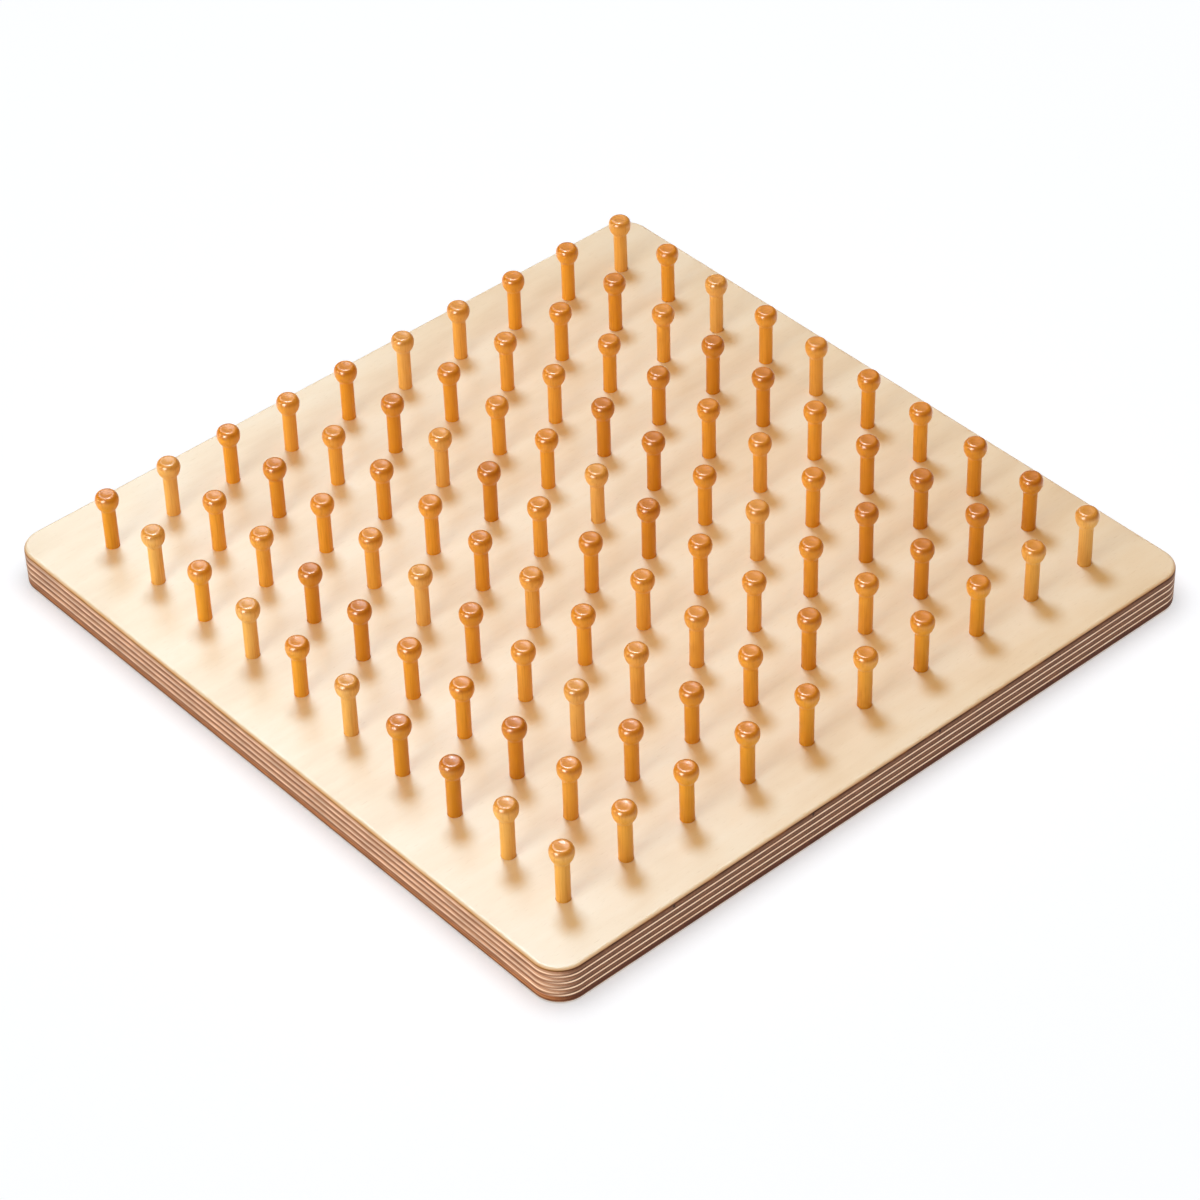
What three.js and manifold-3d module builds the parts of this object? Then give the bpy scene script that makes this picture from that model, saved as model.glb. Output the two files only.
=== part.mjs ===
import * as THREE from 'three';
import { mergeVertices } from 'three/addons/utils/BufferGeometryUtils.js';
import Module from 'manifold-3d';

// Geoboard: a square of laminated birch with a grid of turned pegs glued into blind holes.
// Millimetres, +Z up, underside of the board on z = 0, grid centred on the Z axis.

// grid of pegs, and the board round it
const pegPitch = 26.5;
const pegsPerSide = 10;
const boardMargin = 25.25;
const boardSide = (pegsPerSide - 1) * pegPitch + 2 * boardMargin;
const cornerRadius = 10.5;
const topRoundOver = 2.2;
const bottomRoundOver = 0.9;
const cornerSteps = 6;
const roundSteps = 3;

// layers of the laminate: a face on each side of dark and light plies in turn
const faceThickness = 1.05;
const darkThickness = 2.06;
const lightThickness = 0.65;
const innerPlies = 9;
const drilledPlies = 7;

// pegs, heights counted from the face
const shaftRadius = 2.5;
const headRadius = 4.2;
const headHeight = 20.8;
const pegHeight = 23.3;
const neckHeight = 17;
const headUnderRadius = 3.65;
const headUnderHeight = 18.4;
const rimRadius = 3;
const dimpleDepth = 0.4;
const pegSides = 8;

// holes
const holeDepth = 10;
const holeClearance = 0.3;
const rootDepth = 3;
const overCut = 1;

// Thickness of the first so many inner plies, counted down from the face: dark, light, dark and so on.
function plyStack(count) {
  return Math.ceil(count / 2) * darkThickness + Math.floor(count / 2) * lightThickness;
}

const backTop = faceThickness;
const coreTop = backTop + plyStack(innerPlies);
const coreBottom = coreTop - plyStack(drilledPlies);
const faceTop = coreTop + faceThickness;

const wasm = await Module();
wasm.setup();

const birch = new THREE.MeshStandardMaterial({ color: 0xefd9ba, roughness: 0.4, metalness: 0 });
birch.name = 'lacquered_birch_face';
const coreWood = new THREE.MeshStandardMaterial({ color: 0xae7c58, roughness: 0.6, metalness: 0 });
coreWood.name = 'laminated_core';
const darkPly = new THREE.MeshStandardMaterial({ color: 0x8a5c45, roughness: 0.6, metalness: 0 });
darkPly.name = 'dark_end_ply';
const lightPly = new THREE.MeshStandardMaterial({ color: 0xe2bfa3, roughness: 0.55, metalness: 0 });
lightPly.name = 'light_long_ply';
const backBirch = new THREE.MeshStandardMaterial({ color: 0xe3cba8, roughness: 0.6, metalness: 0 });
backBirch.name = 'sanded_birch_back';
const varnished = new THREE.MeshStandardMaterial({ color: 0xdd8b30, roughness: 0.3, metalness: 0 });
varnished.name = 'varnished_peg_wood';

// Joins equal corners and drops the slivers left where a turned form meets its axis.
function weld(geometry) {
  geometry.deleteAttribute('normal');
  geometry.deleteAttribute('uv');
  const merged = mergeVertices(geometry, 1e-4);
  const index = merged.index.array;
  const kept = [];
  for (let i = 0; i < index.length; i += 3) {
    const [a, b, c] = index.slice(i, i + 3);
    if (a !== b && b !== c && c !== a) {
      kept.push(a, b, c);
    }
  }
  merged.setIndex(kept);
  return merged;
}

function toManifold(geometry) {
  const mesh = new wasm.Mesh({
    numProp: 3,
    vertProperties: new Float32Array(geometry.attributes.position.array),
    triVerts: new Uint32Array(geometry.index.array),
  });
  return new wasm.Manifold(mesh);
}

function toGeometry(manifold) {
  const mesh = manifold.getMesh();
  const geometry = new THREE.BufferGeometry();
  geometry.setAttribute('position', new THREE.BufferAttribute(mesh.vertProperties, 3));
  geometry.setIndex(Array.from(mesh.triVerts));
  return geometry;
}

function named(geometry, material, name) {
  const shown = geometry.index ? geometry.toNonIndexed() : geometry;
  shown.computeVertexNormals();
  const mesh = new THREE.Mesh(shown, material);
  mesh.name = name;
  return mesh;
}

// How far the rounded edges bring the outline in at a height.
function edgeInset(z) {
  const upper = z > faceTop / 2;
  const radius = upper ? topRoundOver : bottomRoundOver;
  const fromFlat = upper ? faceTop - z : z;
  const past = Math.min(radius, Math.max(0, radius - fromFlat));
  return radius - Math.sqrt(radius ** 2 - past ** 2);
}

// Heights at which a layer needs a ring: its two faces, and steps up the rounded edges it shares in.
function levels(bottom, top) {
  const heights = [bottom];
  for (let step = 1; step <= roundSteps; step += 1) {
    heights.push(bottomRoundOver * step / roundSteps);
  }
  for (let step = 0; step < roundSteps; step += 1) {
    heights.push(faceTop - topRoundOver * (1 - step / roundSteps));
  }
  return [...heights.filter((z) => z === bottom || (z > bottom && z < top)), top];
}

// The board's outline at a height, as a ring of corners counted anticlockwise.
function outlineRing(z) {
  const inset = edgeInset(z);
  const reach = boardSide / 2 - cornerRadius;
  const radius = cornerRadius - inset;
  const ring = [];
  for (let corner = 0; corner < 4; corner += 1) {
    const sx = corner === 0 || corner === 3 ? 1 : -1;
    const sy = corner < 2 ? 1 : -1;
    for (let step = 0; step <= cornerSteps; step += 1) {
      const angle = (corner + step / cornerSteps) * Math.PI / 2;
      const x = sx * reach + radius * Math.cos(angle);
      const y = sy * reach + radius * Math.sin(angle);
      ring.push(new THREE.Vector3(x, y, z));
    }
  }
  return ring;
}

// A layer of the board between two or more heights, lowest first.
function layer(heights) {
  const rings = heights.map(outlineRing);
  const count = rings[0].length;
  const index = [];
  for (let level = 0; level + 1 < rings.length; level += 1) {
    for (let i = 0; i < count; i += 1) {
      const a = level * count + i;
      const b = level * count + (i + 1) % count;
      index.push(a, b, b + count, a, b + count, a + count);
    }
  }
  const flat = rings[0].map((p) => new THREE.Vector2(p.x, p.y));
  const last = (rings.length - 1) * count;
  for (const [a, b, c] of THREE.ShapeUtils.triangulateShape(flat, [])) {
    index.push(a, c, b);
    index.push(last + a, last + b, last + c);
  }
  const geometry = new THREE.BufferGeometry().setFromPoints(rings.flat());
  geometry.setIndex(index);
  return geometry;
}

// A turned form standing on the Z axis, from pairs of radius and height, lowest first.
function turned(pairs) {
  const points = pairs.map(([radius, height]) => new THREE.Vector2(radius, height));
  const geometry = new THREE.LatheGeometry(points, pegSides);
  geometry.rotateX(Math.PI / 2);
  return weld(geometry);
}

// A peg whose foot is at the given height and whose head stands over the face.
function pegForm(foot) {
  return turned([
    [0, foot],
    [shaftRadius, foot],
    [shaftRadius, faceTop + neckHeight],
    [headUnderRadius, faceTop + headUnderHeight],
    [headRadius, faceTop + headHeight],
    [rimRadius, faceTop + pegHeight],
    [0, faceTop + pegHeight - dimpleDepth],
  ]);
}

function holeForm(bottom, top) {
  const radius = shaftRadius + holeClearance;
  return turned([[0, bottom], [radius, bottom], [radius, top], [0, top]]);
}

const sites = [];
for (let row = 0; row < pegsPerSide; row += 1) {
  for (let column = 0; column < pegsPerSide; column += 1) {
    const offset = (pegsPerSide - 1) / 2;
    sites.push({
      row,
      column,
      x: (column - offset) * pegPitch,
      y: (row - offset) * pegPitch,
      separate: (row + column) % 2 === 0,
    });
  }
}
const loose = sites.filter((site) => site.separate);
const rooted = sites.filter((site) => !site.separate);

function copies(form, places) {
  const single = toManifold(form);
  return wasm.Manifold.union(places.map((site) => single.translate([site.x, site.y, 0])));
}

const geoboard = new THREE.Group();
geoboard.name = 'geoboard';

// face, drilled through for every peg
const faceBlank = toManifold(layer(levels(coreTop, faceTop)));
const faceHoles = copies(holeForm(coreTop - overCut, faceTop + overCut), sites);
geoboard.add(named(toGeometry(faceBlank.subtract(faceHoles)), birch, 'face_veneer'));

// drilled plies, with blind holes for half the pegs and the other half rooted in them
const coreBlank = toManifold(layer(levels(coreBottom, coreTop)));
const blindHoles = copies(holeForm(faceTop - holeDepth, faceTop), loose);
const rootedPegs = copies(pegForm(coreTop - rootDepth), rooted);
const core = coreBlank.subtract(blindHoles).add(rootedPegs);
geoboard.add(named(toGeometry(core), coreWood, 'drilled_core'));

// plies below the holes, and the back
for (let ply = drilledPlies; ply < innerPlies; ply += 1) {
  const top = coreTop - plyStack(ply);
  const bottom = coreTop - plyStack(ply + 1);
  const material = ply % 2 === 0 ? darkPly : lightPly;
  geoboard.add(named(layer(levels(bottom, top)), material, `inner_ply_${ply + 1}`));
}
geoboard.add(named(layer(levels(0, backTop)), backBirch, 'back_veneer'));

// the pegs that stand loose in their holes, foot on the hole's floor
const pegGeometry = pegForm(faceTop - holeDepth);
for (const site of loose) {
  const row = String(site.row + 1).padStart(2, '0');
  const column = String(site.column + 1).padStart(2, '0');
  const placed = pegGeometry.clone().translate(site.x, site.y, 0);
  geoboard.add(named(placed, varnished, `peg_r${row}_c${column}`));
}

export default geoboard;
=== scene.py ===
import math
import random
import bpy
import bmesh
from mathutils import Matrix, Vector


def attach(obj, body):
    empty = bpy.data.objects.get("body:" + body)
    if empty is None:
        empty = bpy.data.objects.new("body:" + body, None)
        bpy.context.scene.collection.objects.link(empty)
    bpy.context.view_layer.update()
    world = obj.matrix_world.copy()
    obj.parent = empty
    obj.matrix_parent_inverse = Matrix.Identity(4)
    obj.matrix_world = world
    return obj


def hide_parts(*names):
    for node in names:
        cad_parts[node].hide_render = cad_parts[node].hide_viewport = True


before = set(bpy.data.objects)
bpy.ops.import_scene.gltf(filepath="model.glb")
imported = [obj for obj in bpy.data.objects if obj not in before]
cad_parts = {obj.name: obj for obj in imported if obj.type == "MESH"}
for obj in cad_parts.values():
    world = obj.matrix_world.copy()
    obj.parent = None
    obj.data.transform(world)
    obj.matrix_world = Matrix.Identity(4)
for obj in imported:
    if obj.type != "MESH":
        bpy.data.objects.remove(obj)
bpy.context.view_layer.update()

mm = 0.001
weldDistance = 1e-7  # metres; corners nearer than this are one
smoothAngle = math.radians(32)  # edges that turn by more than this stay crisp
cornerBlend = 10  # mm to each side of a corner's diagonal, over which the grain of the edges turns
chance = random.Random(41)


def linearColour(hexText):
    # sRGB hex to the linear values a shader works with
    parts = [int(hexText[i:i + 2], 16) / 255 for i in (1, 3, 5)]
    return (*(p / 12.92 if p <= 0.04045 else ((p + 0.055) / 1.055) ** 2.4 for p in parts), 1.0)


def addNode(material, kind, settings=None, links=None):
    # settings are the node's own options or its input values, links are input to output socket
    node = material.node_tree.nodes.new(kind)
    for name, value in (settings or {}).items():
        if isinstance(name, str) and hasattr(node, name):
            setattr(node, name, value)
        else:
            node.inputs[name].default_value = value
    for name, source in (links or {}).items():
        material.node_tree.links.new(source, node.inputs[name])
    return node


def newMaterial(name):
    material = bpy.data.materials.new(name)
    material.use_nodes = True
    material.node_tree.nodes.clear()
    return material


def finishMaterial(material, shader):
    output = addNode(material, "ShaderNodeOutputMaterial")
    material.node_tree.links.new(shader.outputs[0], output.inputs["Surface"])
    return material


def rampStops(ramp, stops):
    # stops are place and hex colour, lowest first
    elements = ramp.color_ramp.elements
    while len(elements) < len(stops):
        elements.new(0.5)
    for element, (place, colour) in zip(elements, stops):
        element.position = place
        element.color = linearColour(colour)


def grainNoise(material, coords, size, roughness):
    # a cloudy pattern stretched to the given mm along x, y and z
    scale = [1 / (s * mm) for s in size]
    place = addNode(material, "ShaderNodeMapping", {"Scale": scale}, {"Vector": coords})
    return addNode(material, "ShaderNodeTexNoise", {"Scale": 1.0, "Detail": 3.0, "Roughness": roughness},
                   {"Vector": place.outputs[0]}).outputs["Fac"]


def acrossX(material, coords):
    # 1 on the two edges that face along x, 0 on those that face along y, blended round the corners
    away = addNode(material, "ShaderNodeVectorMath", {"operation": "ABSOLUTE"}, {0: coords})
    parts = addNode(material, "ShaderNodeSeparateXYZ", links={0: away.outputs[0]})
    lead = addNode(material, "ShaderNodeMath", {"operation": "SUBTRACT"},
                   {0: parts.outputs["X"], 1: parts.outputs["Y"]})
    return addNode(material, "ShaderNodeMapRange",
                   {"interpolation_type": "SMOOTHSTEP",
                    "From Min": -cornerBlend * mm, "From Max": cornerBlend * mm},
                   {"Value": lead.outputs[0]}).outputs[0]


def shadeSmooth(mesh):
    for polygon in mesh.polygons:
        polygon.use_smooth = True
    mesh.set_sharp_from_angle(angle=smoothAngle)


def newPiece(name, bm, material):
    mesh = bpy.data.meshes.new(name)
    bm.to_mesh(mesh)
    bm.free()
    shadeSmooth(mesh)
    mesh.materials.append(material)
    piece = bpy.data.objects.new(name, mesh)
    bpy.context.scene.collection.objects.link(piece)
    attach(piece, "root")
    return piece


# Rotary-cut birch under satin lacquer: pale cream, soft cloudy figure along the grain, short faint flecks,
# a honey tint on the rounded edge where it drinks the lacquer, a broken darker line at the glue below.
birchFace = {
    "name": "birchRotaryCutSatinLacquer",
    "light": "#f3e0c7", "mid": "#f0d9bc", "deep": "#ead0b0",
    "deepBelow": 0.16, "lightAbove": 0.18,  # how far from the figure's middle these tones are reached
    "fleck": "#d3b38c", "fleckFrom": 0.60, "fleckTo": 0.78, "fleckShare": 0.45,
    "honey": "#d99238", "honeyFrom": 14.5, "honeyTo": 14.95,  # mm above the underside
    "soakAlong": 0.5, "soakAcross": 0.85,  # share of honey on the edges along the grain and across it
    "soakBase": 0.55, "breakFrom": 0.35, "breakTo": 0.65,  # the share at the low end of the pattern
    "glue": [(0.36, "#9a5f2a"), (0.48, "#643414"), (0.6, "#3f1d06")],
    "glueFrom": 14.26, "glueTo": 14.4,  # mm above the underside
    "glueLong": "#c68a4b", "glueFade": 0.6,  # the glue line is fainter across the grain
    # mm along x, y and z; the grain runs along x
    "sizes": {"cloud": (60, 22, 22), "streak": (26, 2.4, 2.4), "fleck": (3.4, 0.5, 0.5), "break": (9, 9, 2)},
    "patternRoughness": 0.55, "streaks": 0.2, "relief": 0.06, "reliefDepth": 0.2,  # depth in mm
    "roughness": 0.4, "roughnessSwing": 0.05, "gloss": 0.5, "edgeGloss": 0.15,
    "coat": 0.7, "coatRoughness": 0.3,
}
# The same birch on the underside, only sanded and thinly sealed: duller, a little browner,
# its rounded lower edge painted dark brown as shade, since it faces down.
birchBack = {
    **birchFace, "name": "birchSandedSealed",
    # painted shade: the edge colour and its shares below make the downward-facing round dark brown
    "light": "#efd9ba", "mid": "#e9cfac", "deep": "#dfc199", "fleck": "#c39f75", "honey": "#7a4c26",
    "glue": [(0.36, "#8c5835"), (0.48, "#744326"), (0.6, "#5d331b")],
    "honeyFrom": 0.25, "honeyTo": 0.05, "glueFrom": 0.95, "glueTo": 0.8, "glueFade": 0.0,
    "soakAlong": 0.95, "soakAcross": 0.95, "streaks": 0.6, "roughness": 0.55, "coat": 0.0,
}


def lacqueredBirch(look):
    material = newMaterial(look["name"])
    coords = addNode(material, "ShaderNodeTexCoord").outputs["Object"]
    height = addNode(material, "ShaderNodeSeparateXYZ", links={0: coords}).outputs["Z"]
    across = acrossX(material, coords)
    noises = {name: grainNoise(material, coords, size, look["patternRoughness"])
              for name, size in look["sizes"].items()}
    # figure and flecks of the flat face
    figure = addNode(material, "ShaderNodeMath", {"operation": "MULTIPLY_ADD", 1: look["streaks"]},
                     {0: noises["streak"], 2: noises["cloud"]})
    tone = addNode(material, "ShaderNodeValToRGB", links={"Fac": figure.outputs[0]})
    middle = 0.5 + 0.5 * look["streaks"]
    rampStops(tone, [(middle - look["deepBelow"], look["deep"]), (middle, look["mid"]),
                     (middle + look["lightAbove"], look["light"])])
    speck = addNode(material, "ShaderNodeMapRange",
                    {"From Min": look["fleckFrom"], "From Max": look["fleckTo"],
                     "To Min": 0.0, "To Max": look["fleckShare"]}, {"Value": noises["fleck"]})
    flecked = addNode(material, "ShaderNodeMix", {"data_type": "RGBA", 7: linearColour(look["fleck"])},
                      {0: speck.outputs[0], 6: tone.outputs["Color"]})
    # honey tint on the rounded edge
    soak = addNode(material, "ShaderNodeMapRange",
                   {"To Min": look["soakAlong"], "To Max": look["soakAcross"]}, {"Value": across})
    uneven = addNode(material, "ShaderNodeMapRange",
                     {"From Min": look["breakFrom"], "From Max": look["breakTo"],
                      "To Min": look["soakBase"]}, {"Value": noises["break"], "To Max": soak.outputs[0]})
    soaked = addNode(material, "ShaderNodeMapRange",
                     {"From Min": look["honeyFrom"] * mm, "From Max": look["honeyTo"] * mm, "To Max": 0.0},
                     {"Value": height, "To Min": uneven.outputs[0]})
    edged = addNode(material, "ShaderNodeMix", {"data_type": "RGBA", 7: linearColour(look["honey"])},
                    {0: soaked.outputs[0], 6: flecked.outputs[2]})
    # glue line under it
    glue = addNode(material, "ShaderNodeValToRGB", links={"Fac": noises["break"]})
    rampStops(glue, look["glue"])
    faint = addNode(material, "ShaderNodeMapRange", {"To Max": look["glueFade"]}, {"Value": across})
    line = addNode(material, "ShaderNodeMix", {"data_type": "RGBA", 7: linearColour(look["glueLong"])},
                   {0: faint.outputs[0], 6: glue.outputs["Color"]})
    seam = addNode(material, "ShaderNodeMapRange",
                   {"From Min": look["glueFrom"] * mm, "From Max": look["glueTo"] * mm,
                    "To Min": 1.0, "To Max": 0.0}, {"Value": height})
    colour = addNode(material, "ShaderNodeMix", {"data_type": "RGBA"},
                     {0: seam.outputs[0], 6: edged.outputs[2], 7: line.outputs[2]})
    # lacquer, which thins out down the edge
    rough = addNode(material, "ShaderNodeMapRange",
                    {"To Min": look["roughness"] - look["roughnessSwing"],
                     "To Max": look["roughness"] + look["roughnessSwing"]}, {"Value": noises["streak"]})
    relief = addNode(material, "ShaderNodeBump",
                     {"Strength": look["relief"], "Distance": look["reliefDepth"] * mm},
                     {"Height": noises["streak"]})
    edge = {"From Min": look["glueFrom"] * mm, "From Max": look["honeyTo"] * mm}
    shine = addNode(material, "ShaderNodeMapRange",
                    {**edge, "To Min": look["edgeGloss"], "To Max": look["gloss"]}, {"Value": height})
    coat = addNode(material, "ShaderNodeMapRange",
                   {**edge, "To Min": 0.0, "To Max": look["coat"]}, {"Value": height})
    shader = addNode(material, "ShaderNodeBsdfPrincipled",
                     {"IOR": 1.5, "Coat Roughness": look["coatRoughness"]},
                     {"Base Color": colour.outputs[2], "Roughness": rough.outputs[0],
                      "Specular IOR Level": shine.outputs[0], "Coat Weight": coat.outputs[0],
                      "Normal": relief.outputs[0]})
    return finishMaterial(material, shader)


# The board: one rounded blank, sliced into its layers and drilled for the pegs, in mm.
board = {
    "side": 289, "thickness": 15, "cornerRadius": 10.5, "topRound": 1.3, "bottomRound": 0.9,
    "cornerSteps": 18, "edgeSteps": 8, "supportLoop": 0.15,
    "face": 1.05, "dark": 2.06, "light": 0.65, "innerPlies": 9,
    "corePlies": 7,  # how many of them are one drilled core in the CAD
    "cutPast": 1,  # how far the outermost cuts clear the blank
}
coreTop = board["thickness"] - board["face"]
plyPeriod = board["dark"] + board["light"]

# Thick plies, sanded and sealed, grain along y: on the edges along x they show end grain, brown and full
# of pores with dark glue lines and a few gaps; on the others long fibres, tan with one paler line.
thickEdge = {
    "name": "birchThickPlyEdgeSealed",
    # place within one thick and thin pair, counted down
    "endGrain": [(0.0, "#41240f"), (0.08, "#59361f"), (0.15, "#7b5239"), (0.33, "#754c34"),
                 (0.39, "#976d51"), (0.45, "#754c34"), (0.66, "#6b442d"), (0.76, "#4c2c18")],
    "longGrain": [(0.0, "#9a623f"), (0.08, "#d39c78"), (0.34, "#d8a684"), (0.46, "#ffe4cb"),
                  (0.56, "#e0b08f"), (0.67, "#bd8660"), (0.76, "#834d2a")],
    # mm along x, y and z, and the shares that the colour is multiplied by where each pattern is low and high
    "pore": (0.9, 0.9, 0.35), "drift": (8, 8, 1.6), "fibre": (20, 20, 0.7),
    "poreShade": (0.66, 1.26), "driftShade": (0.8, 1.2), "fibreShade": (0.68, 1.16),
    "patternRoughness": 0.6, "patternFrom": 0.3, "patternTo": 0.7,
    # gaps in the first ply, in mm, not cut but painted dark as the shade in their hollows; each full to one
    # share of its size and gone at another
    "gaps": [(-95.2, -144.4, 13.4), (-34.5, -144.4, 13.5), (23.3, -144.4, 13.5)],
    "gapSize": (0.6, 1.5, 0.8), "gapShadeColour": "#2c1407", "gapFull": 0.6, "gapGone": 1.1,
    "footShadeTint": "#c49a6c", "footFrom": 2.6, "footTo": 3.1,  # the lowest ply is painted redder and darker as shade near the floor; mm up
    "roughness": 0.6, "gloss": 0.25, "relief": 0.25, "reliefDepth": 0.2,  # depth in mm
}
# Thin plies between them, grain along x: pale fibres on the edges along x, dark end grain on the others.
thinEdge = {
    "name": "birchThinPlyEdgeSealed",
    "longGrain": [(0.32, "#ebc6a8"), (0.5, "#f8dcc2"), (0.68, "#ffeeda")],
    "endGrain": [(0.32, "#74452c"), (0.5, "#935e40"), (0.68, "#b5835f")],
    "fibre": (11, 11, 0.3), "patternRoughness": 0.6,  # mm along x, y and z
    "roughness": 0.6, "gloss": 0.25, "relief": 0.2, "reliefDepth": 0.2,  # depth in mm
}


def thickPlyEdge(look):
    material = newMaterial(look["name"])
    coords = addNode(material, "ShaderNodeTexCoord").outputs["Object"]
    height = addNode(material, "ShaderNodeSeparateXYZ", links={0: coords}).outputs["Z"]
    turned = acrossX(material, coords)
    # bands across each ply, end grain on one pair of edges and long grain on the other
    turn = addNode(material, "ShaderNodeMapRange",
                   {"clamp": False, "From Min": coreTop * mm, "From Max": (coreTop - plyPeriod) * mm},
                   {"Value": height})
    within = addNode(material, "ShaderNodeMath", {"operation": "FRACT"}, {0: turn.outputs[0]})
    ends = addNode(material, "ShaderNodeValToRGB", links={"Fac": within.outputs[0]})
    rampStops(ends, look["endGrain"])
    longs = addNode(material, "ShaderNodeValToRGB", links={"Fac": within.outputs[0]})
    rampStops(longs, look["longGrain"])
    bands = addNode(material, "ShaderNodeMix", {"data_type": "RGBA"},
                    {0: turned, 6: ends.outputs["Color"], 7: longs.outputs["Color"]})
    # pores in the end grain, fibres in the long grain, and a slow drift over both
    noises = {name: grainNoise(material, coords, look[name], look["patternRoughness"])
              for name in ("pore", "fibre", "drift")}
    shades = {}
    for name, noise in noises.items():
        darkest, palest = look[name + "Shade"]
        shades[name] = addNode(material, "ShaderNodeMapRange",
                               {"From Min": look["patternFrom"], "From Max": look["patternTo"],
                                "To Min": darkest, "To Max": palest}, {"Value": noise}).outputs[0]
    texture = addNode(material, "ShaderNodeMix", links={0: turned, 2: shades["pore"], 3: shades["fibre"]})
    both = addNode(material, "ShaderNodeMath", {"operation": "MULTIPLY"},
                   {0: texture.outputs[0], 1: shades["drift"]})
    worn = addNode(material, "ShaderNodeVectorMath", {"operation": "MULTIPLY"},
                   {0: bands.outputs[2], 1: both.outputs[0]})
    # painted shade: the lowest ply darker and redder towards the floor
    low = addNode(material, "ShaderNodeMapRange",
                  {"From Min": look["footFrom"] * mm, "From Max": look["footTo"] * mm,
                   "To Min": 1.0, "To Max": 0.0}, {"Value": height})
    colour = addNode(material, "ShaderNodeMix",
                     {"data_type": "RGBA", "blend_type": "MULTIPLY", 7: linearColour(look["footShadeTint"])},
                     {0: low.outputs[0], 6: worn.outputs[0]}).outputs[2]
    # painted shade: each gap is a dark spot standing in for the shade inside an uncut hollow
    for gap in look["gaps"]:
        near = addNode(material, "ShaderNodeMapping",
                       {"vector_type": "TEXTURE", "Location": [v * mm for v in gap],
                        "Scale": [v * mm for v in look["gapSize"]]}, {"Vector": coords})
        away = addNode(material, "ShaderNodeVectorMath", {"operation": "LENGTH"}, {0: near.outputs[0]})
        hollow = addNode(material, "ShaderNodeMapRange",
                         {"From Min": look["gapFull"], "From Max": look["gapGone"],
                          "To Min": 1.0, "To Max": 0.0}, {"Value": away.outputs["Value"]})
        colour = addNode(material, "ShaderNodeMix",
                         {"data_type": "RGBA", 7: linearColour(look["gapShadeColour"])},
                         {0: hollow.outputs[0], 6: colour}).outputs[2]
    relief = addNode(material, "ShaderNodeBump",
                     {"Strength": look["relief"], "Distance": look["reliefDepth"] * mm},
                     {"Height": noises["pore"]})
    shader = addNode(material, "ShaderNodeBsdfPrincipled",
                     {"IOR": 1.5, "Roughness": look["roughness"], "Specular IOR Level": look["gloss"]},
                     {"Base Color": colour, "Normal": relief.outputs[0]})
    return finishMaterial(material, shader)


def thinPlyEdge(look):
    material = newMaterial(look["name"])
    coords = addNode(material, "ShaderNodeTexCoord").outputs["Object"]
    fibres = grainNoise(material, coords, look["fibre"], look["patternRoughness"])
    longs = addNode(material, "ShaderNodeValToRGB", links={"Fac": fibres})
    rampStops(longs, look["longGrain"])
    ends = addNode(material, "ShaderNodeValToRGB", links={"Fac": fibres})
    rampStops(ends, look["endGrain"])
    colour = addNode(material, "ShaderNodeMix", {"data_type": "RGBA"},
                     {0: acrossX(material, coords), 6: longs.outputs["Color"], 7: ends.outputs["Color"]})
    relief = addNode(material, "ShaderNodeBump",
                     {"Strength": look["relief"], "Distance": look["reliefDepth"] * mm}, {"Height": fibres})
    shader = addNode(material, "ShaderNodeBsdfPrincipled",
                     {"IOR": 1.5, "Roughness": look["roughness"], "Specular IOR Level": look["gloss"]},
                     {"Base Color": colour.outputs[2], "Normal": relief.outputs[0]})
    return finishMaterial(material, shader)


# Turned hardwood under honey varnish: glossy, warm amber, faint fibres along the shaft; the head's top is
# darker, partly varnish in the end grain, partly painted shade.
pegLook = {
    "name": "turnedHardwoodHoneyVarnish",
    "pale": "#f9c26c", "honey": "#f6ab32", "amber": "#d98c18", "fibreDark": "#cc760e", "headStainAndShade": "#d0b074",
    "fibre": (0.45, 0.45, 14), "patternRoughness": 0.6,  # mm along x, y and z
    "streakFrom": 0.48, "streakTo": 0.78, "streakShare": 0.5,
    "headFrom": 35.6, "headTo": 37.4, "headShare": 0.8,  # mm above the underside
    "roughness": 0.4, "gloss": 0.2, "relief": 0.06, "reliefDepth": 0.2,  # depth in mm
    "coatShaft": 0.1, "coatHead": 0.7, "coatRoughness": 0.2,
    "coatFrom": 33.5, "coatTo": 35.5,  # mm above the underside
}


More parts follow.
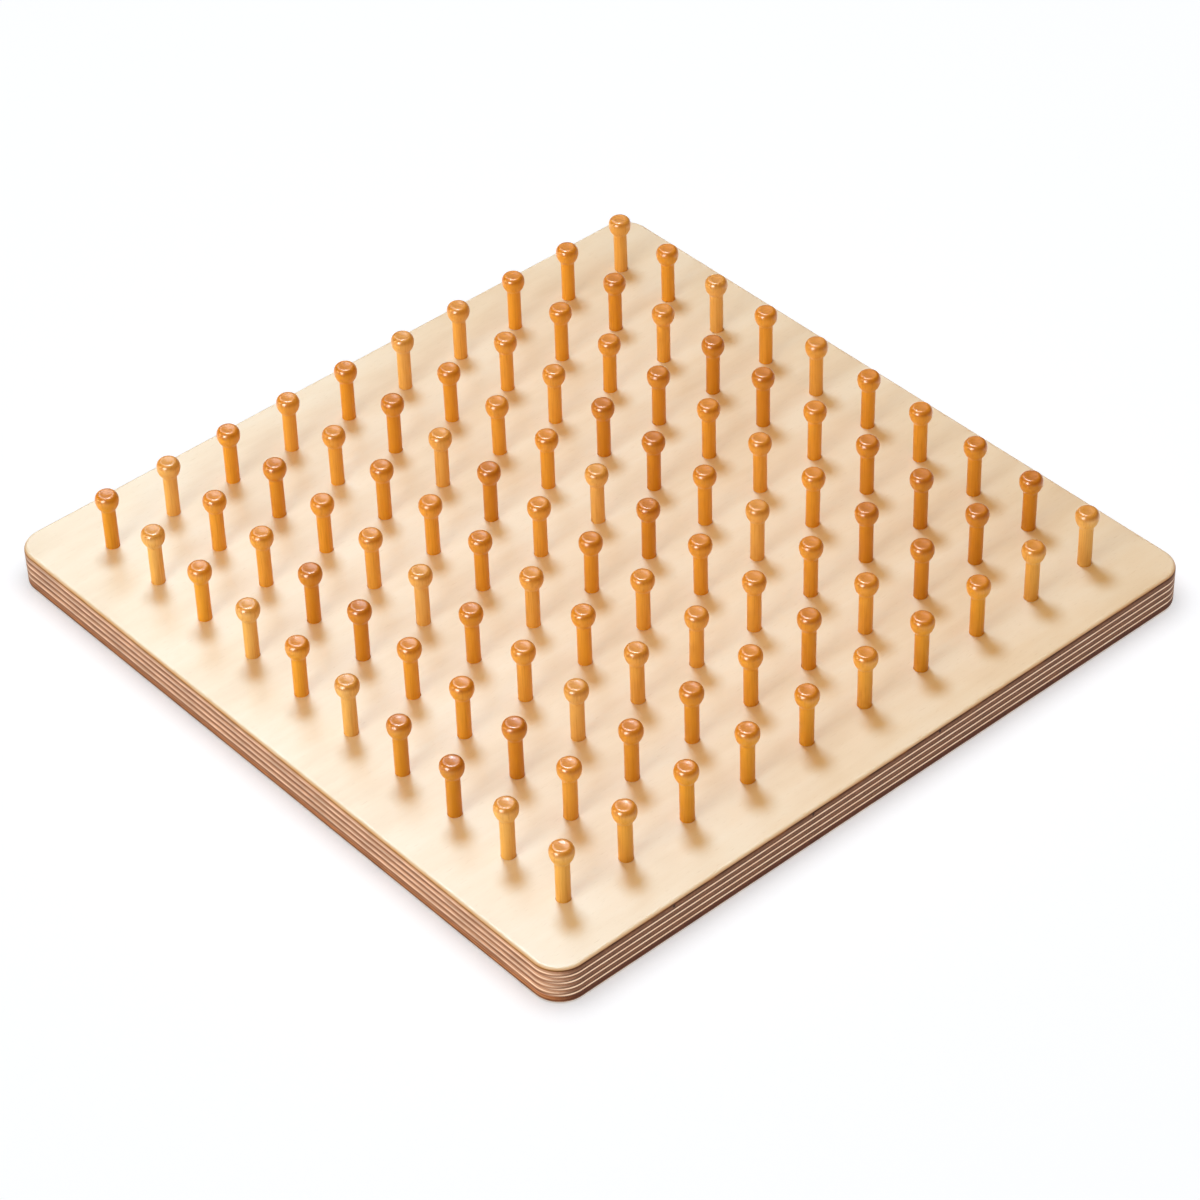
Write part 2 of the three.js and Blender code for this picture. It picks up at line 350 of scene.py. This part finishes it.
def varnishedPeg(look):
    material = newMaterial(look["name"])
    coords = addNode(material, "ShaderNodeTexCoord").outputs["Object"]
    height = addNode(material, "ShaderNodeSeparateXYZ", links={0: coords}).outputs["Z"]
    own = addNode(material, "ShaderNodeAttribute", {"attribute_name": "pegTone"})
    tone = addNode(material, "ShaderNodeValToRGB", links={"Fac": own.outputs["Fac"]})
    rampStops(tone, [(0.0, look["pale"]), (0.5, look["honey"]), (1.0, look["amber"])])
    fibres = grainNoise(material, coords, look["fibre"], look["patternRoughness"])
    streak = addNode(material, "ShaderNodeMapRange",
                     {"From Min": look["streakFrom"], "From Max": look["streakTo"],
                      "To Min": 0.0, "To Max": look["streakShare"]}, {"Value": fibres})
    grained = addNode(material, "ShaderNodeMix", {"data_type": "RGBA", 7: linearColour(look["fibreDark"])},
                      {0: streak.outputs[0], 6: tone.outputs["Color"]})
    # partly painted shade: the upper head and shoulder are tinted darker, besides the varnish its end grain
    # takes up
    top = addNode(material, "ShaderNodeMapRange",
                  {"interpolation_type": "SMOOTHSTEP",
                   "From Min": look["headFrom"] * mm, "From Max": look["headTo"] * mm,
                   "To Min": 0.0, "To Max": look["headShare"]}, {"Value": height})
    colour = addNode(material, "ShaderNodeMix",
                     {"data_type": "RGBA", "blend_type": "MULTIPLY", 7: linearColour(look["headStainAndShade"])},
                     {0: top.outputs[0], 6: grained.outputs[2]})
    relief = addNode(material, "ShaderNodeBump",
                     {"Strength": look["relief"], "Distance": look["reliefDepth"] * mm}, {"Height": fibres})
    coat = addNode(material, "ShaderNodeMapRange",
                   {"From Min": look["coatFrom"] * mm, "From Max": look["coatTo"] * mm,
                    "To Min": look["coatShaft"], "To Max": look["coatHead"]}, {"Value": height})
    shader = addNode(material, "ShaderNodeBsdfPrincipled",
                     {"IOR": 1.45, "Roughness": look["roughness"], "Specular IOR Level": look["gloss"],
                      "Coat Roughness": look["coatRoughness"]},
                     {"Base Color": colour.outputs[2], "Coat Weight": coat.outputs[0],
                      "Normal": relief.outputs[0]})
    return finishMaterial(material, shader)


faceMaterial = lacqueredBirch(birchFace)
backMaterial = lacqueredBirch(birchBack)
darkMaterial = thickPlyEdge(thickEdge)
lightMaterial = thinPlyEdge(thinEdge)
pegMaterial = varnishedPeg(pegLook)
print("materials ready")

# Grid of pegs and their blind holes, in mm; a hole's floor is its height above the underside.
grid = {"perSide": 10, "pitch": 26.5}
hole = {"radius": 2.56, "floor": 5.0, "lip": 0.05, "lipOut": 0.1, "steps": 28}
middleOfRow = (grid["perSide"] - 1) / 2
sites = [((column - middleOfRow) * grid["pitch"], (row - middleOfRow) * grid["pitch"], row, column)
         for row in range(grid["perSide"]) for column in range(grid["perSide"])]


def boardBlank(size):
    flatHeight = 1e-6  # metres; a corner this near to a level lies on it
    flatNormal = 0.999  # a face that points up or down by more than this is flat
    bm = bmesh.new()
    bmesh.ops.create_cube(bm, size=1)
    bmesh.ops.scale(bm, vec=(size["side"] * mm, size["side"] * mm, size["thickness"] * mm), verts=bm.verts)
    bmesh.ops.translate(bm, vec=(0, 0, size["thickness"] / 2 * mm), verts=bm.verts)
    upright = [e for e in bm.edges if abs(e.verts[0].co.z - e.verts[1].co.z) > size["thickness"] / 2 * mm]
    bmesh.ops.bevel(bm, geom=upright, offset=size["cornerRadius"] * mm, affect="EDGES",
                    segments=size["cornerSteps"], profile=0.5, material=-1)
    for level, reach in ((size["thickness"], size["topRound"]), (0, size["bottomRound"])):
        rim = [e for e in bm.edges if all(abs(v.co.z - level * mm) < flatHeight for v in e.verts)]
        bmesh.ops.bevel(bm, geom=rim, offset=reach * mm, affect="EDGES",
                        segments=size["edgeSteps"], profile=0.5, material=-1)
    flats = [f for f in bm.faces if abs(f.normal.z) > flatNormal]
    bmesh.ops.inset_region(bm, faces=flats, thickness=size["supportLoop"] * mm)  # keeps their shading flat
    bmesh.ops.recalc_face_normals(bm, faces=bm.faces)
    return bm


def sliceOf(blank, low, high):
    # one layer of the blank between two heights in mm, closed at its cuts
    bm = blank.copy()
    for level, below in ((low, True), (high, False)):
        cut = bmesh.ops.bisect_plane(bm, geom=[*bm.verts, *bm.edges, *bm.faces], dist=weldDistance,
                                     plane_co=(0, 0, level * mm), plane_no=(0, 0, 1),
                                     clear_inner=below, clear_outer=not below)
        edges = [e for e in cut["geom_cut"] if isinstance(e, bmesh.types.BMEdge)]
        if edges:
            bmesh.ops.contextual_create(bm, geom=edges)
    bmesh.ops.recalc_face_normals(bm, faces=bm.faces)
    return bm


def turnedForm(profile, steps):
    # a form turned about the z axis, from pairs of radius and height in mm, lowest first
    bm = bmesh.new()
    verts = [bm.verts.new((r * mm, 0, z * mm)) for r, z in profile]
    edges = [bm.edges.new(pair) for pair in zip(verts, verts[1:])]
    bmesh.ops.spin(bm, geom=[*verts, *edges], cent=(0, 0, 0), axis=(0, 0, 1), angle=2 * math.pi,
                   steps=steps, use_merge=True)
    bmesh.ops.remove_doubles(bm, verts=bm.verts, dist=weldDistance)
    return bm


def holeCutters(size, top):
    # one object with a cutter for every hole, a little wider at its lip
    profile = [(0, size["floor"]), (size["radius"], size["floor"]), (size["radius"], top - size["lip"]),
               (size["radius"] + size["lipOut"], top + size["lip"]), (0, top + size["lip"])]
    bm = turnedForm(profile, size["steps"])
    first = [*bm.verts, *bm.edges, *bm.faces]
    firstX, firstY = sites[0][:2]
    for x, y, *_ in sites[1:]:
        copied = bmesh.ops.duplicate(bm, geom=first)["geom"]
        bmesh.ops.translate(bm, vec=((x - firstX) * mm, (y - firstY) * mm, 0),
                            verts=[v for v in copied if isinstance(v, bmesh.types.BMVert)])
    bmesh.ops.translate(bm, vec=(firstX * mm, firstY * mm, 0), verts=bm.verts)
    bmesh.ops.recalc_face_normals(bm, faces=bm.faces)
    mesh = bpy.data.meshes.new("holeCutters")
    bm.to_mesh(mesh)
    bm.free()
    cutter = bpy.data.objects.new("holeCutters", mesh)
    bpy.context.scene.collection.objects.link(cutter)
    return cutter


def drill(piece, cutter):
    cut = piece.modifiers.new("holes", "BOOLEAN")
    cut.operation = "DIFFERENCE"
    cut.solver = "EXACT"
    cut.object = cutter
    depsgraph = bpy.context.evaluated_depsgraph_get()
    drilled = bpy.data.meshes.new_from_object(piece.evaluated_get(depsgraph))
    piece.modifiers.remove(cut)
    old = piece.data
    piece.data = drilled
    bpy.data.meshes.remove(old)
    shadeSmooth(drilled)


def stackOf(plies):
    # thickness of the first so many inner plies below the face: dark, light, dark and so on
    return math.ceil(plies / 2) * board["dark"] + plies // 2 * board["light"]


blank = boardBlank(board)
cutter = holeCutters(hole, board["thickness"])

faceSlice = sliceOf(blank, coreTop, board["thickness"] + board["cutPast"])
facePiece = newPiece("face_veneer_birch", faceSlice, faceMaterial)
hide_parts("face_veneer")
drill(facePiece, cutter)
plyPieces = []  # all layers below the face, which a lamp of their own lights
for ply in range(board["innerPlies"]):
    high = coreTop - stackOf(ply)
    low = coreTop - stackOf(ply + 1)
    dark = ply % 2 == 0
    inCore = ply < board["corePlies"]
    name = f"inner_ply_{ply + 1}_{'dark' if dark else 'light'}"
    piece = newPiece(name, sliceOf(blank, low, high), darkMaterial if dark else lightMaterial)
    plyPieces.append(piece)
    if high > hole["floor"]:
        drill(piece, cutter)
    if ply == 0:
        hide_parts("drilled_core")
    if not inCore:
        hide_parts(f"inner_ply_{ply + 1}")
backSlice = sliceOf(blank, -board["cutPast"], board["face"])
backPiece = newPiece("back_veneer_birch", backSlice, backMaterial)
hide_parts("back_veneer")
plyPieces.append(backPiece)
blank.free()
bpy.data.objects.remove(cutter)
print("board layers ready")

# One peg turned from its profile, then set in every hole; radii and heights over the face, in mm.
peg = {
    "shaft": 2.5, "tenon": 10, "chamfer": 0.3, "neck": 16.6, "head": 4.2, "widest": 20.8, "top": 23.3,
    "crest": 2.5, "flat": 0.6, "dish": 0.16, "dip": 0.02, "fillet": 1.0,
    "filletSteps": 4, "bulbFrom": 2, "bulbSteps": 10, "shoulderSteps": 9, "dishSteps": 6, "steps": 32,
    "sunk": (0.1, 0.5),  # least and greatest extra seating
    "lean": 0.5, "pivot": -4,  # greatest lean in degrees, and the height that a peg leans about
    "fullTurn": 6.28,  # radians; the two parts of the lean's axis are drawn from this range
    "tone": (0.5, 0.18), "palerTone": 0.1, "darkerTone": 0.9,  # mean and spread; 0 is palest, 1 darkest
    # row and column of the pegs that stand out from their neighbours
    "paler": [(5, 5), (9, 5), (6, 0), (8, 0), (9, 1), (5, 2), (4, 0), (2, 2), (0, 9)],
    "darker": [(1, 9), (2, 7), (2, 8), (1, 8), (6, 4), (6, 8), (4, 5), (6, 1)],
}


def pegProfile(form):
    # foot, shaft, an egg-shaped lower head, a round shoulder, and a shallow dish in the top
    points = [(0, -form["tenon"]), (form["shaft"] - form["chamfer"], -form["tenon"]),
              (form["shaft"], form["chamfer"] - form["tenon"])]
    start = math.acos(form["shaft"] / form["head"])
    drop = (form["widest"] - form["neck"]) / math.sin(start)
    bulb = []
    for step in range(form["bulbFrom"], form["bulbSteps"] + 1):  # the fillet takes the steps before
        turn = start * (1 - step / form["bulbSteps"])
        bulb.append((form["head"] * math.cos(turn), form["widest"] - drop * math.sin(turn)))
    for step in range(form["filletSteps"]):  # eases the shaft into the head
        t = step / form["filletSteps"]
        points.append((form["shaft"] + t * t * (bulb[0][0] - form["shaft"]),
                       form["neck"] - (1 - t) ** 2 * form["fillet"] + t * t * (bulb[0][1] - form["neck"])))
    points += bulb
    for step in range(1, form["shoulderSteps"] + 1):
        turn = math.pi / 2 * step / form["shoulderSteps"]
        points.append((form["crest"] + (form["head"] - form["crest"]) * math.cos(turn),
                       form["widest"] + (form["top"] - form["widest"]) * math.sin(turn)))
    for step in range(1, form["dishSteps"] + 1):
        inward = step / form["dishSteps"]
        points.append((form["crest"] + (form["flat"] - form["crest"]) * inward,
                       form["top"] - form["dish"] * (1 - math.cos(math.pi * inward)) / 2))
    return [*points, (0, form["top"] - form["dish"] - form["dip"])]


pegShape = turnedForm(pegProfile(peg), peg["steps"])
bmesh.ops.recalc_face_normals(pegShape, faces=pegShape.faces)
pegPieces = []
for x, y, row, column in sites:
    bm = pegShape.copy()
    tilt = math.radians(chance.uniform(0, peg["lean"]))
    axisX = math.cos(chance.uniform(0, peg["fullTurn"]))
    axisY = math.sin(chance.uniform(0, peg["fullTurn"]))
    lean = Matrix.Rotation(tilt, 3, Vector((axisX, axisY, 0)).normalized())
    bmesh.ops.rotate(bm, cent=(0, 0, peg["pivot"] * mm), matrix=lean, verts=bm.verts)
    seat = board["thickness"] - chance.uniform(*peg["sunk"])
    bmesh.ops.translate(bm, vec=(x * mm, y * mm, seat * mm), verts=bm.verts)
    piece = newPiece(f"turned_peg_r{row + 1:02d}_c{column + 1:02d}", bm, pegMaterial)
    pegPieces.append(piece)
    tone = piece.data.attributes.new("pegTone", "FLOAT", "POINT")
    shade = min(1, max(0, chance.gauss(*peg["tone"])))
    shade = peg["palerTone"] if (row, column) in peg["paler"] else shade
    shade = peg["darkerTone"] if (row, column) in peg["darker"] else shade
    tone.data.foreach_set("value", [shade] * len(piece.data.vertices))
    if (row + column) % 2 == 0:
        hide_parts(f"peg_r{row + 1:02d}_c{column + 1:02d}")
pegShape.free()
print("pegs ready")

# Pale seamless floor: a soft, slightly blue shadow at the board's foot, white to the camera in the distance,
# and open to a camera below it, so that the board's underside can be looked at.
studio = {
    "floorColour": "#f4f5f7", "floorSize": 8, "floorLift": (0.265, 0.275, 0.29, 1),
    "floorDrop": 0.2,  # mm under the board
    "whiteFrom": 0.6, "whiteTo": 1.6, "whiteLift": 0.8,  # metres from the middle, and the light added there
}


def paperFloor(look):
    material = newMaterial("palePaperSweep")
    matte = addNode(material, "ShaderNodeBsdfDiffuse", {"Color": linearColour(look["floorColour"])})
    lift = addNode(material, "ShaderNodeEmission", {"Color": look["floorLift"], "Strength": 1.0})
    near = addNode(material, "ShaderNodeAddShader", links={0: matte.outputs[0], 1: lift.outputs[0]})
    coords = addNode(material, "ShaderNodeTexCoord").outputs["Object"]
    away = addNode(material, "ShaderNodeVectorMath", {"operation": "LENGTH"}, {0: coords})
    view = addNode(material, "ShaderNodeLightPath").outputs["Is Camera Ray"]
    seen = addNode(material, "ShaderNodeMath", {"operation": "MULTIPLY", 1: look["whiteLift"]}, {0: view})
    far = addNode(material, "ShaderNodeMapRange",
                  {"From Min": look["whiteFrom"], "From Max": look["whiteTo"], "To Min": 0.0},
                  {"Value": away.outputs["Value"], "To Max": seen.outputs[0]})
    white = addNode(material, "ShaderNodeEmission", {"Color": (1, 1, 1, 1)}, {"Strength": far.outputs[0]})
    paper = addNode(material, "ShaderNodeAddShader", links={0: near.outputs[0], 1: white.outputs[0]})
    below = addNode(material, "ShaderNodeNewGeometry").outputs["Backfacing"]
    clear = addNode(material, "ShaderNodeBsdfTransparent")
    sheet = addNode(material, "ShaderNodeMixShader",
                    links={0: below, 1: paper.outputs[0], 2: clear.outputs[0]})
    return finishMaterial(material, sheet)


bm = bmesh.new()
bmesh.ops.create_grid(bm, x_segments=1, y_segments=1, size=studio["floorSize"] / 2)
floorMesh = bpy.data.meshes.new("floor")
bm.to_mesh(floorMesh)
bm.free()
floorMesh.materials.append(paperFloor(studio))
floor = bpy.data.objects.new("floor", floorMesh)
floor.location.z = -studio["floorDrop"] * mm
bpy.context.scene.collection.objects.link(floor)

# Lamps: a cool soft one high behind, a cool fill from the left and a wide warm ceiling light the object.
# A wash lights the plies' edges and a side lamp the pegs. Those with diffuse off are only mirrored in the
# lacquer, and one lamp is for the floor alone.
lamps = {
    "key": {"place": (0.235, 0.52, 1.34), "size": 0.42, "watts": 15.2, "colour": (0.5, 0.74, 0.96)},
    "fill": {"place": (-1.03, -0.17, 0.7), "size": 0.6, "watts": 6.7, "colour": (0.68, 0.84, 0.9)},
    "ceiling": {"place": (0.0, 0.0, 1.7), "size": 5.0, "watts": 40.0, "colour": (1.0, 0.54, 0.06)},
    "wash": {"place": (-0.8, -1.15, 0.28), "size": 0.8, "watts": 6.0, "colour": (1.0, 0.85, 0.7),
             "only": "plies"},
    "side": {"place": (-1.2, 0.9, 0.35), "size": 0.6, "watts": 9.0, "colour": (1.0, 0.75, 0.35),
             "only": "pegs"},
    "panel": {"place": (0.3, 1.08, 1.15), "size": 0.7, "watts": 6.0, "colour": (0.5, 0.8, 1.0),
              "diffuse": False},
    "sky": {"place": (0.85, 1.0, 0.9), "size": 1.0, "watts": 1.3, "colour": (0.9, 0.95, 1.0),
            "diffuse": False, "only": "pegs"},
    "glint": {"place": (-1.25, -0.15, 0.5), "size": 0.7, "watts": 24.0, "colour": (1.0, 0.97, 0.92),
              "diffuse": False, "only": "pegs"},
    "overhead": {"place": (0.14, 0.3, 1.35), "size": 0.8, "watts": 14.0, "colour": (1.0, 0.97, 0.92),
                 "diffuse": False, "only": "pegs"},
    "floorLamp": {"place": (0.0, 0.1, 2.6), "size": 3.6, "watts": 74.0, "colour": (1.0, 1.0, 1.0),
                  "only": "floor"},
}
lampAim = Vector((0, 0, 20 * mm))
lit = {"floor": [floor], "plies": plyPieces, "pegs": pegPieces, "object": [floor]}
receivers = {}
for name, targets in lit.items():
    receivers[name] = bpy.data.collections.new(name + "Receivers")
    for target in targets:
        receivers[name].objects.link(target)
receivers["object"].collection_objects[0].light_linking.link_state = "EXCLUDE"  # all but the floor
for name, lamp in lamps.items():
    light = bpy.data.lights.new(name, "AREA")
    light.shape = "DISK"
    light.size = lamp["size"]
    light.energy = lamp["watts"]
    light.color = lamp["colour"]
    holder = bpy.data.objects.new(name, light)
    holder.location = lamp["place"]
    holder.rotation_euler = (lampAim - holder.location).to_track_quat("-Z", "Y").to_euler()
    holder.light_linking.receiver_collection = receivers[lamp.get("only", "object")]
    holder.visible_diffuse = lamp.get("diffuse", True)
    bpy.context.scene.collection.objects.link(holder)

# The room is white to the camera and gives everything else a faint warm light.
room = {"colour": (1.0, 0.9, 0.8, 1), "strength": 0.06}
world = bpy.data.worlds.new("studioRoom")
bpy.context.scene.world = world
world.use_nodes = True
world.node_tree.nodes.clear()
path = addNode(world, "ShaderNodeLightPath")
seen = addNode(world, "ShaderNodeMath", {"operation": "MAXIMUM"},
               {0: path.outputs["Is Camera Ray"], 1: path.outputs["Is Transmission Ray"]})
even = addNode(world, "ShaderNodeBackground", {"Color": room["colour"], "Strength": room["strength"]})
white = addNode(world, "ShaderNodeBackground", {"Color": (1, 1, 1, 1), "Strength": 1.0})
mixed = addNode(world, "ShaderNodeMixShader",
                links={0: seen.outputs[0], 1: even.outputs[0], 2: white.outputs[0]})
addNode(world, "ShaderNodeOutputWorld", links={"Surface": mixed.outputs[0]})

# Camera, from the photographed corners: degrees, metres, the aim's offset across the picture in mm,
# the lens and sensor in mm, and the farthest distance drawn in metres.
shot = {
    "azimuth": -40.47, "elevation": 40.53, "roll": -1.86, "distance": 1.369, "aim": (1.73, -16.09),
    "lens": 118.5, "sensor": 36, "farthest": 50,
}
azimuth, elevation, roll = (math.radians(shot[k]) for k in ("azimuth", "elevation", "roll"))
back = Vector((math.sin(azimuth) * math.cos(elevation),
               -math.cos(azimuth) * math.cos(elevation),
               math.sin(elevation)))
level = Vector((math.cos(azimuth), math.sin(azimuth), 0))
rise = back.cross(level)
right = math.cos(roll) * level + math.sin(roll) * rise
up = -math.sin(roll) * level + math.cos(roll) * rise
aim = Vector((0, 0, board["thickness"] * mm)) + shot["aim"][0] * mm * right + shot["aim"][1] * mm * up
lens = bpy.data.cameras.new("camera")
lens.sensor_width = shot["sensor"]
lens.lens = shot["lens"]
lens.clip_end = shot["farthest"]
camera = bpy.data.objects.new("camera", lens)
stand = Matrix.Translation(aim + shot["distance"] * back)
camera.matrix_world = stand @ Matrix((right, up, back)).transposed().to_4x4()
bpy.context.scene.collection.objects.link(camera)
bpy.context.scene.camera = camera
bpy.context.scene.view_settings.view_transform = "Standard"
print("studio ready")

bpy.context.view_layer.update()
